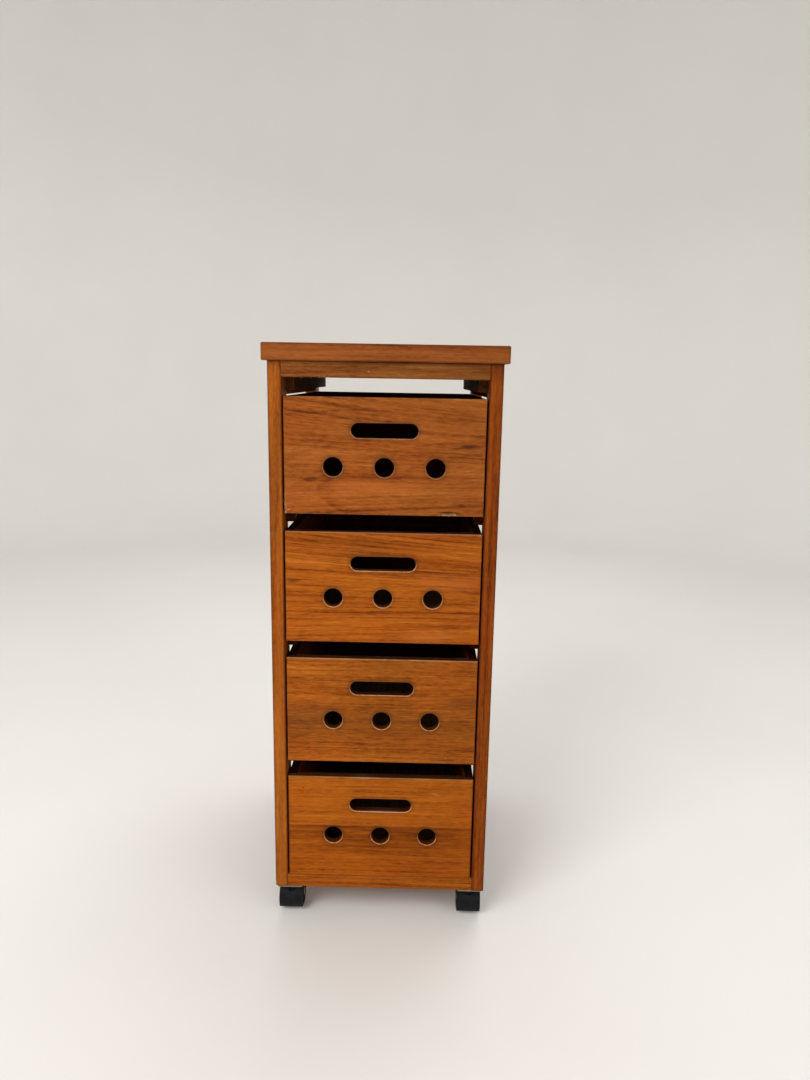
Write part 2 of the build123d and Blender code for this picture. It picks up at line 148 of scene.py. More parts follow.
class Field:
    """A colour or vector that varies over a surface."""

    def __init__(self, nodes: "Nodes", socket: bpy.types.NodeSocket) -> None:
        """Keep the tree's maker and the socket that gives the colour or vector."""
        self.nodes = nodes
        self.socket = socket

    def vector(self, operation: str, *terms: Source) -> "Field":
        """Add one Vector Math node.

        Args:
            operation: the node's operation.
            terms: what goes into its inputs, in order.

        Returns:
            The node's vector.
        """
        node = self.nodes.add("ShaderNodeVectorMath", {"operation": operation}, dict(enumerate(terms)))
        return Field(self.nodes, node.outputs["Vector"])

    def __add__(self, other: Source) -> "Field":
        """Sum of two vectors."""
        return self.vector("ADD", self, other)

    def __mul__(self, other: Source) -> "Field":
        """Product of two vectors, part by part."""
        return self.vector("MULTIPLY", self, other)

    def split(self) -> tuple[Value, Value, Value]:
        """The three parts as numbers."""
        node = self.nodes.add("ShaderNodeSeparateXYZ", {}, {"Vector": self})
        x, y, z = (Value(self.nodes, out) for out in node.outputs)
        return x, y, z

    def blend(self, other: Source, factor: Source, way: str = "MIX") -> "Field":
        """Mix another colour over this one.

        Args:
            other: the colour on top.
            factor: how much of it shows.
            way: the Mix node's blend type.

        Returns:
            The mixed colour.
        """
        settings = {"data_type": "RGBA", "blend_type": way, "clamp_factor": True}
        node = self.nodes.add("ShaderNodeMix", settings, {0: factor, 6: self, 7: other})
        return Field(self.nodes, node.outputs[2])


class Nodes:
    """Adds nodes to one tree."""

    def __init__(self, tree: bpy.types.NodeTree) -> None:
        """Keep the tree."""
        self.tree = tree

    def add(self, kind: str, settings: Optional[dict] = None, inputs: Optional[dict] = None) -> bpy.types.Node:
        """Add a node of any type.

        Args:
            kind: the node's type.
            settings: its own settings; "stops" fills a colour ramp.
            inputs: a value or a link for each named or numbered socket.

        Returns:
            The node.
        """
        node = self.tree.nodes.new(kind)
        for name, setting in (settings or {}).items():
            if name == "stops":
                self.fill_ramp(node.color_ramp, setting)
            else:
                setattr(node, name, setting)
        for name, source in (inputs or {}).items():
            self.feed(node.inputs[name], source)
        return node

    @staticmethod
    def fill_ramp(ramp: bpy.types.ColorRamp, stops: Sequence[tuple[float, Rgb]]) -> None:
        """Give a colour ramp its stops.

        Args:
            ramp: the ramp, which starts with two stops.
            stops: place and colour of each stop, in order.
        """
        while len(ramp.elements) < len(stops):
            ramp.elements.new(1.0)
        for element, (place, colour) in zip(ramp.elements, stops):
            element.position = place
            element.color = (*colour, 1.0)

    def feed(self, socket: bpy.types.NodeSocket, source: Source) -> None:
        """Link a source to a socket, or set the socket's own value.

        Args:
            socket: an input.
            source: what it gets.
        """
        if isinstance(source, (Value, Field)):
            source = source.socket
        if isinstance(source, bpy.types.NodeSocket):
            self.tree.links.new(source, socket)
        elif socket.type == "RGBA" and len(source) == 3:
            socket.default_value = (*source, 1.0)
        else:
            socket.default_value = source


class Paint(Nodes):
    """The node tree of one material, around its Principled shader."""

    def __init__(self, name: str) -> None:
        """Start a material.

        Args:
            name: the material's name.
        """
        self.material = bpy.data.materials.new(name)
        self.material.use_nodes = True
        super().__init__(self.material.node_tree)
        self.shader = self.tree.nodes["Principled BSDF"]

    def place(self, centre: Point = (0.0, 0.0, 0.0), turn: Point = (0.0, 0.0, 0.0)) -> Field:
        """Millimetres along turned axes from a centre on the object.

        Args:
            centre: the centre, in metres.
            turn: Euler turn of the axes.

        Returns:
            The vector.
        """
        at = self.add("ShaderNodeTexCoord").outputs["Object"]
        inputs = {"Vector": at, "Location": centre, "Rotation": turn, "Scale": (MM, MM, MM)}
        node = self.add("ShaderNodeMapping", {"vector_type": "TEXTURE"}, inputs)
        return Field(self, node.outputs["Vector"])

    def noise(self, at: Field, stretch: Point, detail: float = 2.0, rough: float = 0.5, bend: float = 0.0) -> Value:
        """Cloudy noise with a mean of 0.5.

        Args:
            at: where it is read, in millimetres.
            stretch: how often it changes in a millimetre, along each axis.
            detail: octaves.
            rough: how much the finer octaves count.
            bend: distortion.

        Returns:
            The noise.
        """
        inputs = {"Vector": at * stretch, "Scale": 1.0, "Detail": detail, "Roughness": rough, "Distortion": bend}
        node = self.add("ShaderNodeTexNoise", {}, inputs)
        return Value(self, node.outputs["Fac"])

    def join(self, x: Source, y: Source, z: Source) -> Field:
        """A vector from three numbers."""
        return Field(self, self.add("ShaderNodeCombineXYZ", {}, {"X": x, "Y": y, "Z": z}).outputs["Vector"])

    def ramp(self, along: Value, stops: Sequence[tuple[float, Rgb]]) -> Field:
        """A colour ramp."""
        return Field(self, self.add("ShaderNodeValToRGB", {"stops": stops}, {"Fac": along}).outputs["Color"])

    def finish(self, colour: Source, roughness: Source, height: Optional[Value] = None, depth: float = 1.0,
               **uniform: float) -> bpy.types.Material:
        """Feed the shader.

        Args:
            colour: base colour.
            roughness: roughness.
            height: relief in millimetres, or None.
            depth: strength of the relief.
            uniform: values that are the same all over, by socket name with _ for a space.

        Returns:
            The finished material.
        """
        self.feed(self.shader.inputs["Base Color"], colour)
        self.feed(self.shader.inputs["Roughness"], roughness)
        if height is not None:
            bump = self.add("ShaderNodeBump", {}, {"Strength": depth, "Distance": MM, "Height": height})
            self.feed(self.shader.inputs["Normal"], bump.outputs["Normal"])
        for name, number in uniform.items():
            self.shader.inputs[name.replace("_", " ")].default_value = number
        return self.material


# Finishes


class Grain(Enum):
    """The way a board's fibres run, as the turn that lays them along x."""

    ACROSS = (0.0, 0.0, 0.0)
    INTO = (0.0, 0.0, math.pi / 2)
    UPRIGHT = (0.0, -math.pi / 2, 0.0)


# Colours laid over the wood
DARK = (0.060, 0.016, 0.004)  # knots, stains, dark streaks and spots of painted shade
PALE = (0.42, 0.29, 0.19)  # scuffs down to bare wood
ARRIS_GLINT = (0.62, 0.45, 0.31)  # painted highlight on a top arris
LIP_GLINT = (0.62, 0.42, 0.24)  # painted highlight on the lower lip of an opening
GOLD = (0.57, 0.158, 0.030)  # lighter heartwood
WORN = (0.330, 0.185, 0.098)  # rubbed arrises
SANDED = (0.60, 0.280, 0.120)  # lower lips of the openings
GLUE = (0.08, 0.022, 0.006)  # line between two glued boards

# Tints the wood is multiplied by
# painted shade: tint that darkens the wood along its arrises
EDGE_SHADE = (0.40, 0.32, 0.30)
# painted shade: darker, greyer tint on the wood round the openings
OPENING_SHADE = (0.60, 0.66, 0.95)
# painted shade: dark tint on the walls inside the openings
OPENING_WALL_SHADE = (0.20, 0.10, 0.07)
ROSY = (1.0, 0.84, 0.78)
LOWER_BOARD = (0.98, 0.91, 0.78)
LOWER_BAND = (0.39, 0.33, 0.31)


@dataclass(frozen=True)
class Spot:
    """A knot, stain, dark streak, pale scuff, spot of painted shade or painted highlight on a board: half sizes in
    millimetres, tilt in degrees.
    """

    x: float
    z: float
    length: float
    height: float
    strength: float = 0.7
    tilt: float = 0.0
    colour: Rgb = DARK


@dataclass(frozen=True)
class Cutout:
    """A round or long opening in a front, whose rim is sanded lighter."""

    x: float
    z: float
    length: float
    height: float


@dataclass(frozen=True)
class Teak:
    """Oiled teak with growth rings, streaks, pores, worn edges and sanded rims, and painted shade along its edges,
    round its openings, on its top and towards its right end.
    """

    grain: Grain
    low: Point
    high: Point
    seed: float
    tint: Rgb = (1.0, 1.0, 1.0)
    heart: tuple[float, float] = (90.0, -160.0)
    slope: float = 0.05
    ring: float = 7.0
    wander: float = 14.0
    figure: float = 0.5
    lean: float = 0.0
    fan: float = 0.0
    bands: float = 0.5
    lines: float = 0.75
    short: float = 0.65
    dashes: float = 0.35
    # painted shade: how bright the board's right end stays, 1.0 for none
    fade: float = 1.0
    wear: float = 0.45
    # strength of the painted shade along the arrises
    edge: float = 0.15
    rim: float = 1.0
    top_wear: float = 0.0
    top_shade: float = 1.0
    rough: float = 0.45
    shine: float = 0.05
    seam: Optional[float] = None
    spots: tuple[Spot, ...] = ()
    cutouts: tuple[Cutout, ...] = ()

    def centre(self) -> Point:
        """Middle of the board, in metres."""
        return tuple((a + b) / 2 for a, b in zip(self.low, self.high))

    def material(self, name: str) -> bpy.types.Material:
        """Make the wood of one board.

        Args:
            name: the material's name.

        Returns:
            The material.
        """
        paint = Paint(name)
        plain = paint.place()
        along, deep, side = paint.place(self.centre(), self.grain.value).split()
        side = side + along * (side * self.fan + self.lean)
        wood = paint.join(along, deep, side)
        shifted = wood + (self.seed * 173.0, self.seed * 59.0, self.seed * 31.0)
        fibre = paint.noise(shifted, (0.04, 0.75, 0.75), 3.0, 0.65)
        pores = paint.noise(shifted, (0.10, 1.3, 1.3), 1.0).rise(0.6, 0.72)
        colour = self.figured(paint, shifted, self.rings(paint, wood, shifted), fibre, pores)
        if self.seam is not None:
            colour = self.join_boards(paint, plain, colour)
        for spot in self.spots:
            colour = colour.blend(spot.colour, self.spot_mask(plain, spot, fibre))
        # painted shade: the board darkens towards its right end, where less light falls
        if self.fade < 1.0:
            end = (self.high[0] - self.low[0]) / MM / 2
            colour = colour.blend((self.fade, self.fade, self.fade), along.rise(-end, end), "MULTIPLY")
        worn, edge = self.edge_wear_and_shade(paint, plain)
        # painted shade along the arrises
        colour = colour.blend(EDGE_SHADE, edge * self.edge, "MULTIPLY")
        if self.cutouts:
            # painted shade round the openings and, deeper in, on their walls
            rim, wall, shade_round_opening = self.rim_masks(paint, plain)
            colour = colour.blend(OPENING_SHADE, shade_round_opening, "MULTIPLY")
            colour = colour.blend(OPENING_WALL_SHADE, wall, "MULTIPLY")
        if self.top_shade < 1.0:
            inside = (plain.split()[1] - (self.low[1] / MM + 0.9)).rise(0.0, 0.8)
            top = 1.0 - (self.high[2] / MM - plain.split()[2]).rise(0.1, 0.4)
            colour = colour.blend((self.top_shade, self.top_shade, self.top_shade), top * inside, "MULTIPLY")
        colour = colour.blend(WORN, worn)
        if self.cutouts:
            colour = colour.blend(SANDED, rim * self.rim)
        rough = self.rough + (fibre - 0.5) * 0.25 + worn * 0.2 + pores * 0.15
        height = (fibre - 0.5) * 0.05 - pores * 0.06
        return paint.finish(colour, rough, height, 0.7, Specular_IOR_Level=self.shine)

    def figured(self, paint: Paint, shifted: Field, rings: Value, fibre: Value, pores: Value) -> Field:
        """Colour of the wood's figure.

        Args:
            paint: the material's maker.
            shifted: place along the fibres, moved for this board's own noise.
            rings: late wood.
            fibre: fibre noise.
            pores: mask of the pores.

        Returns:
            The colour.
        """
        broad = paint.noise(shifted, (0.0035, 0.030, 0.030), 2.0, 0.55)
        bands = paint.noise(shifted, (0.006, 0.085, 0.085), 2.0, 0.55, 0.3)
        lines = paint.noise(shifted, (0.0035, 0.26, 0.26), 3.0, 0.6)
        short = paint.noise(shifted, (0.10, 0.55, 0.55), 2.0, 0.6)
        dashes = paint.noise(shifted, (0.028, 0.50, 0.50), 3.0, 0.6, 0.2).rise(0.55, 0.68)
        cloud = paint.noise(shifted + (57.0, 11.0, 23.0), (0.011, 0.022, 0.022), 2.0)
        tone = 0.60 + (broad - 0.5) * 0.6 + (bands - 0.5) * self.bands + (lines - 0.5) * self.lines
        tone = tone + (short - 0.5) * self.short + (fibre - 0.5) * 0.35 + (cloud - 0.5) * 0.35
        tone = tone - rings * (0.42 * self.figure) - dashes * (0.34 * self.dashes) - pores * 0.08
        colour = paint.ramp(tone, (
            (0.00, (0.085, 0.0155, 0.0022)),
            (0.25, (0.170, 0.0360, 0.0048)),
            (0.50, (0.292, 0.0730, 0.0088)),
            (0.75, (0.385, 0.1080, 0.0150)),
            (1.00, (0.480, 0.1560, 0.0300)),
        ))
        colour = colour.blend(ROSY, cloud.rise(0.45, 0.65) * 0.6, "MULTIPLY")
        return colour.blend(self.tint, 1.0, "MULTIPLY")

    def rings(self, paint: Paint, wood: Field, shifted: Field) -> Value:
        """Late wood of the growth rings round a leaning heart.

        Args:
            paint: the material's maker.
            wood: place along the fibres, in millimetres from the board's middle.
            shifted: the same, moved for this board's own noise.

        Returns:
            0 in early wood to 1 in the darkest rings.
        """
        along, deep, side = wood.split()
        swing = paint.noise(shifted, (0.007, 0.014, 0.014), 2.0, 0.5) - 0.5
        broken = paint.noise(shifted, (0.009, 0.05, 0.05), 2.0, 0.6).rise(0.36, 0.62, 0.15, 1.0)
        deep = deep - self.heart[0] + along * self.slope
        side = side - self.heart[1] + swing * self.wander
        reach = (deep * deep + side * side).root() / self.ring
        year = paint.add("ShaderNodeTexWhiteNoise", {"noise_dimensions": "1D"}, {"W": reach.whole() + self.seed})
        force = Value(paint, year.outputs["Value"])
        late = reach.part()
        line = late.rise(0.66, 0.93) * (1.0 - late.rise(0.95, 1.0))
        return line * (force * 0.75 + 0.25) * broken

    def edge_wear_and_shade(self, paint: Paint, plain: Field) -> tuple[Value, Value]:
        """Rubbed arrises of the board, and painted shade along them.

        Args:
            paint: the material's maker.
            plain: place on the object, in millimetres.

        Returns:
            The wear, up to the board's own, and the mask of the painted shade along the edges.
        """
        gaps = []
        for at, low, high in zip(plain.split(), self.low, self.high):
            gaps.append((high - low) / MM / 2 - abs(at - (low + high) / MM / 2))
        near, far = gaps[0].least(gaps[1]), gaps[0].most(gaps[1])
        edge = near.most(far.least(gaps[2]))
        patchy = paint.noise(plain + (self.seed * 7.0, 0.0, 0.0), (0.05, 0.05, 0.05), 4.0, 0.7)
        grit = paint.noise(plain, (0.5, 0.5, 0.5), 2.0)
        line = 1.0 - (edge + (grit - 0.5) * 1.4).rise(0.3, 1.4)
        worn = line * patchy.rise(0.42, 0.70) * self.wear
        if self.top_wear:
            front = plain.split()[1] - self.low[1] / MM
            top = self.high[2] / MM - plain.split()[2]
            rub = 1.0 - front.most(top).rise(0.8, 1.7)
            worn = worn.most(rub * (patchy.rise(0.35, 0.7, 0.45, 1.0) * self.top_wear))
        # the second mask is painted shade along the edges
        return worn, 1.0 - (edge + (grit - 0.5) * 1.2).rise(0.6, 2.6)

    def rim_masks(self, paint: Paint, plain: Field) -> tuple[Value, Value, Value]:
        """Sanded rims round the openings, painted shade on the walls inside them and painted shade on the wood around
        them.

        Args:
            paint: the material's maker.
            plain: place on the object, in millimetres.

        Returns:
            The rim's mask, the mask of painted shade on the walls, which is weaker at the mouth, and the mask of
            painted shade on the wood around.
        """
        x, y, z = plain.split()
        nearest, low, wall = None, None, None
        for cutout in self.cutouts:
            over = (abs(x - cutout.x) - (cutout.length - cutout.height) / 2).most(0.0)
            rise = z - cutout.z
            gap = (over * over + rise * rise).root() - cutout.height / 2
            nearest = gap if nearest is None else nearest.least(gap)
            side = rise / (cutout.height / 2) + gap.rise(4.0, 6.0, 0.0, 9.0)
            low = side if low is None else low.least(side)
            shade = (1.0 - gap.rise(0.1, 0.4)) * (1.0 if cutout.length > cutout.height else 0.62)
            wall = shade if wall is None else wall.most(shade)
        grit = paint.noise(plain, (0.22, 0.22, 0.22), 2.0)
        mouth = 1.0 - (y - self.low[1] / MM).rise(0.4, 0.9)
        under = 1.0 - low.rise(-0.7, 0.4, 0.0, 0.92)
        rim = (1.0 - abs(nearest - 0.25).rise(0.35, 1.0)) * mouth * grit.rise(0.3, 0.62, 0.45, 1.0) * under
        # the painted shade on the walls grows deeper inside the openings
        inside = (y - self.low[1] / MM).rise(0.3, 5.0, 0.45, 1.0)
        return rim, wall * inside, (1.0 - nearest.rise(0.0, 7.0)) * grit.rise(0.2, 0.6, 0.6, 1.0)

    def spot_mask(self, plain: Field, spot: Spot, fibre: Value) -> Value:
        """One knot, streak, scuff, spot of painted shade or painted highlight, frayed along the fibres.

        Args:
            plain: place on the object, in millimetres.
            spot: its place and size.
            fibre: fibre noise that frays it.

        Returns:
            0 outside to the spot's strength in its middle.
        """
        x, _, z = plain.split()
        turn = math.radians(spot.tilt)
        over, up = x - spot.x, z - spot.z
        wide = (over * math.cos(turn) + up * math.sin(turn)) / spot.length
        tall = (up * math.cos(turn) - over * math.sin(turn)) / spot.height
        ragged = (wide * wide + tall * tall).root() + (fibre - 0.5) * 1.6
        return (1.0 - ragged.rise(0.25, 1.15)) * spot.strength

    def join_boards(self, paint: Paint, plain: Field, colour: Field) -> Field:
        """Tone of the lower of two boards that are glued into one front, with the glue line.

        Args:
            paint: the material's maker.
            plain: place on the object, in millimetres.
            colour: the wood's colour.

        Returns:
            The colour with both boards.
        """
        x, _, z = plain.split()
        lower = 1.0 - (z - self.seam).rise(-0.25, 0.25)
        streaks = paint.noise(plain, (0.012, 0.2, 0.2), 2.0, 0.6).rise(0.35, 0.65, 0.5, 1.0)
        colour = colour.blend(LOWER_BOARD, lower, "MULTIPLY")
        band = lower * streaks * (z - self.seam).rise(-60.0, -6.0) * abs(x).rise(60.0, 125.0, 1.0, 0.6)
        colour = colour.blend(LOWER_BAND, band, "MULTIPLY")
        glue = 1.0 - abs(z - self.seam).rise(0.15, 0.7)
        return colour.blend(GLUE, glue * 0.6)


@dataclass(frozen=True)
class Plywood:
    """Bare plywood of the drawer bottoms: pale, open grain and light layers at its edges."""

    seed: float

    def material(self, name: str) -> bpy.types.Material:
        """Make the plywood.

        Args:
            name: the material's name.

        Returns:
            The material.
        """
        paint = Paint(name)
        at = paint.place((self.seed, 0.3 * self.seed, 0.0), (0.0, 0.0, 0.03 * math.sin(self.seed)))
        grain = paint.noise(at, (0.3, 0.008, 0.3), 4.0, 0.6, 0.3)
        fibre = paint.noise(at, (1.6, 0.05, 1.6), 3.0, 0.6)
        flecks = paint.noise(at, (1.1, 0.16, 1.1), 2.0).rise(0.62, 0.72)
        tone = 0.5 + (grain - 0.5) * 1.1 + (fibre - 0.5) * 0.5 - flecks * 0.15
        colour = paint.ramp(tone, (
            (0.1, (0.050, 0.022, 0.009)),
            (0.5, (0.090, 0.044, 0.019)),
            (0.9, (0.150, 0.080, 0.037)),
        ))
        height = (fibre - 0.5) * 0.08 - flecks * 0.05
        return paint.finish(colour, 0.7 + (fibre - 0.5) * 0.2, height, 0.8, Specular_IOR_Level=0.05)


@dataclass(frozen=True)
class RawWood:
    """Broken, unfinished wood inside a chip, pale with dark fibres."""

    def material(self, name: str) -> bpy.types.Material:
        """Make the raw wood.

        Args:
            name: the material's name.

        Returns:
            The material.
        """
        paint = Paint(name)
        at = paint.place()
        fibre = paint.noise(at, (0.25, 2.4, 2.4), 3.0, 0.65, 0.4)
        patch = paint.noise(at, (0.3, 0.5, 0.5), 2.0, 0.6)
        colour = paint.ramp(fibre * 0.6 + patch * 0.4, (
            (0.34, (0.060, 0.020, 0.006)),
            (0.46, (0.250, 0.110, 0.030)),
            (0.60, (0.450, 0.260, 0.110)),
        ))
        return paint.finish(colour, 0.75 + (patch - 0.5) * 0.2, fibre * 0.25, 0.9, Specular_IOR_Level=0.15)


@dataclass(frozen=True)
class Nylon:
    """Black moulded nylon with a fine spark texture, scuffs, painted highlights along the hood's side edges and dust
    towards the floor.
    """

    shade: Rgb = (0.0028, 0.0031, 0.0038)
    dust: float = 0.15
    rough: float = 0.5
    # painted highlight: middle and half width of the hood, whose side edges are painted lighter
    rim: Optional[tuple[float, float]] = None

    def material(self, name: str) -> bpy.types.Material:
        """Make the nylon.

        Args:
            name: the material's name.

        Returns:
            The material.
        """
        paint = Paint(name)
        at = paint.place()
        grit = paint.noise(at, (4.5, 4.5, 4.5), 2.0, 0.6)
        cloud = paint.noise(at, (0.12, 0.12, 0.12), 3.0, 0.6)
        scuff = paint.noise(at, (0.35, 2.2, 0.9), 2.0, 0.6, 1.2).rise(0.62, 0.78)
        x, _, z = at.split()
        dusty = (1.0 - z.rise(1.0, 22.0)) * cloud.rise(0.4, 0.75) * self.dust
        colour = paint.ramp(cloud, ((0.3, self.shade), (0.7, tuple(2.8 * c for c in self.shade))))
        colour = colour.blend((0.022, 0.020, 0.019), scuff * 0.3)
        colour = colour.blend((0.070, 0.060, 0.050), dusty)
        rough = self.rough + (cloud - 0.5) * 0.2 + dusty * 0.35 + scuff * 0.15
        if self.rim is not None:
            # painted highlight along the hood's side edges
            centre, half = self.rim
            edge = 1.0 - (half - abs(abs(x) - centre)).rise(0.15, 0.9)
            colour = colour.blend((0.026, 0.025, 0.026), edge * cloud.rise(0.3, 0.6, 0.35, 0.9))
        return paint.finish(colour, rough, (grit - 0.5) * 0.09 - scuff * 0.02, 0.6, Specular_IOR_Level=0.12)


@dataclass(frozen=True)
class Steel:
    """Zinc plated or bare steel with rolled streaks, dull patches and a little tarnish."""

    shade: Rgb
    tarnish: Rgb
    rough: float
    streak: Point = (0.4, 6.0, 6.0)

    def material(self, name: str) -> bpy.types.Material:
        """Make the metal.

        Args:
            name: the material's name.

        Returns:
            The material.
        """
        paint = Paint(name)
        at = paint.place()
        fine = paint.noise(at, self.streak, 3.0, 0.6)
        cloud = paint.noise(at, (0.16, 0.16, 0.16), 4.0, 0.65)
        spots = paint.noise(at, (0.9, 0.9, 0.9), 3.0, 0.6).rise(0.62, 0.75)
        colour = paint.ramp(fine, ((0.2, tuple(0.8 * c for c in self.shade)), (0.8, self.shade)))
        colour = colour.blend(self.tarnish, (cloud.rise(0.4, 0.75) * 0.5 + spots * 0.35).least(0.8))
        rough = self.rough + (cloud - 0.5) * 0.3 + spots * 0.2
        return paint.finish(colour, rough, (fine - 0.5) * 0.02, 0.6, Metallic=1.0)


# Geometry


def settle(name: str, mesh: bpy.types.Mesh, body: str, nodes: Iterable[str]) -> bpy.types.Object:
    """Put a finished mesh into the scene in place of CAD nodes.

    Args:
        name: the piece's name.
        mesh: its mesh, with its materials.
        body: the CAD body it rides on.
        nodes: the CAD nodes it replaces.

    Returns:
        The object.
    """
    made = bpy.data.objects.new(name, mesh)
    bpy.context.scene.collection.objects.link(made)
    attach(made, body)
    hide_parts(*nodes)
    LOG.info("%s: %d faces on body %s", name, len(mesh.polygons), body)
    return made


@dataclass(frozen=True)
class Chip:
    """A splinter broken out of an edge: its middle and half sizes, in millimetres."""

    middle: Point
    size: Point
    seed: float


class Shape:
    """A bmesh that becomes one finished piece of the unit."""

    def __init__(self) -> None:
        """Start with nothing."""
        self.bm = bmesh.new()

    def lathe(self, outline: Sequence[tuple[float, float]], steps: int) -> None:
        """Turn a closed outline of (x, radius) round the x axis."""
        ring = [self.bm.verts.new((x, radius, 0.0)) for x, radius in outline]
        edges = [self.bm.edges.new(pair) for pair in zip(ring, ring[1:] + ring[:1])]
        bmesh.ops.spin(self.bm, geom=ring + edges, cent=(0.0, 0.0, 0.0), axis=(1.0, 0.0, 0.0), angle=2 * math.pi,
                       steps=steps, use_merge=True, use_duplicate=False)
        bmesh.ops.recalc_face_normals(self.bm, faces=self.bm.faces)

    def block(self, low: Point, high: Point, bevel: float, turn: Matrix) -> None:
        """Add a block with eased edges.

        Args:
            low: lowest corner.
            high: highest corner.
            bevel: width of the eased edges.
            turn: a transform of the finished block.
        """
        size = Vector(high) - Vector(low)
        place = Matrix.Translation((Vector(low) + Vector(high)) / 2) @ Matrix.Diagonal((*size, 1.0))
        known = set(self.bm.verts)
        made = bmesh.ops.create_cube(self.bm, size=1.0, matrix=place)["verts"]
        edges = list({edge for vert in made for edge in vert.link_edges})
        bmesh.ops.bevel(self.bm, geom=edges, offset=bevel, offset_type="OFFSET", segments=2, profile=0.5,
                        affect="EDGES", material=-1)
        made = [vert for vert in self.bm.verts if vert not in known]
        bmesh.ops.transform(self.bm, matrix=turn, verts=made)

    def splinter(self, chip: Chip) -> None:
        """Add the ragged lump that one chip takes away."""
        for vert in bmesh.ops.create_icosphere(self.bm, subdivisions=3, radius=MM)["verts"]:
            at = vert.co / MM
            ragged = 1.0 + 0.5 * noise.noise(Vector((at.x * 2.6, at.y, at.z * 1.7 + chip.seed * 7.0)))
            vert.co = Vector(tuple(a * b * ragged for a, b in zip(vert.co, chip.size))) + Vector(chip.middle) * MM

    def mesh(self, name: str) -> bpy.types.Mesh:
        """Turn the bmesh into a mesh and let it go."""
        mesh = bpy.data.meshes.new(name)
        self.bm.to_mesh(mesh)
        self.bm.free()
        return mesh


# Sub-assemblies


def dress(node: str, material: bpy.types.Material) -> None:
    """Give a CAD node's material slots a finish.

    Args:
        node: the node's name.
        material: the finish.
    """
    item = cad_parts[node]
    if not item.material_slots:
        item.data.materials.append(material)
    for place in item.material_slots:
        place.material = material
    LOG.info("%s: %s", node, material.name)


def teak(node: str, grain: Grain, seed: float, **look: object) -> bpy.types.Material:
    """Dress one CAD board in teak of its own.

    Args:
        node: the board's node.
        grain: the way its fibres run.
        seed: number of its own figure.
        look: any other field of Teak.

    Returns:
        The board's finish.
    """
    low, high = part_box(node)
    wood = Teak(grain, tuple(low), tuple(high), seed, **look).material("teak_" + node)
    dress(node, wood)
    return wood


@dataclass
class ChippedBoard:
    """A board with splinters broken out of its edges."""

    node: str
    body: str
    slot: str
    chips: tuple[Chip, ...]

    def build(self, wood: bpy.types.Material, raw: bpy.types.Material) -> None:
        """Cut the chips, one after another, out of a merged copy of the CAD board.

        Args:
            wood: the board's finish.
            raw: the finish inside the chips.
        """
        board = Shape()
        board.bm.from_mesh(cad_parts[self.node].data)
        bmesh.ops.remove_doubles(board.bm, verts=board.bm.verts, dist=1e-6)
        blank = self.loose(board, "blank", wood)
        tools = []
        for number, chip in enumerate(self.chips):
            tool = Shape()
            tool.splinter(chip)
            tools.append(self.loose(tool, f"chip_{number}", raw))
            cut = blank.modifiers.new(tools[-1].name, "BOOLEAN")
            cut.operation, cut.solver, cut.material_mode = "DIFFERENCE", "MANIFOLD", "TRANSFER"
            cut.object = tools[-1]
        ready = blank.evaluated_get(bpy.context.evaluated_depsgraph_get())
        mesh = bpy.data.meshes.new_from_object(ready)
        for item in (blank, *tools):
            bpy.data.objects.remove(item)
        mesh.name = self.node + "_worn"
        LOG.info("%s: %d faces inside chips", mesh.name, sum(face.material_index for face in mesh.polygons))
        for face in mesh.polygons:
            face.use_smooth = max(abs(part) for part in face.normal) < 0.9999
        settle(mesh.name, mesh, self.body, [self.node])

    def loose(self, shape: Shape, name: str, finish: bpy.types.Material) -> bpy.types.Object:
        """Make a passing object for one cut.

        Args:
            shape: the board, or a lump that a chip takes away.
            name: what it is.
            finish: its finish.

        Returns:
            The object.
        """
        mesh = shape.mesh(f"{self.node}_{name}")
        mesh.materials.clear()
        mesh.materials.append(finish)
        item = bpy.data.objects.new(mesh.name, mesh)
        bpy.context.scene.collection.objects.link(item)
        return item


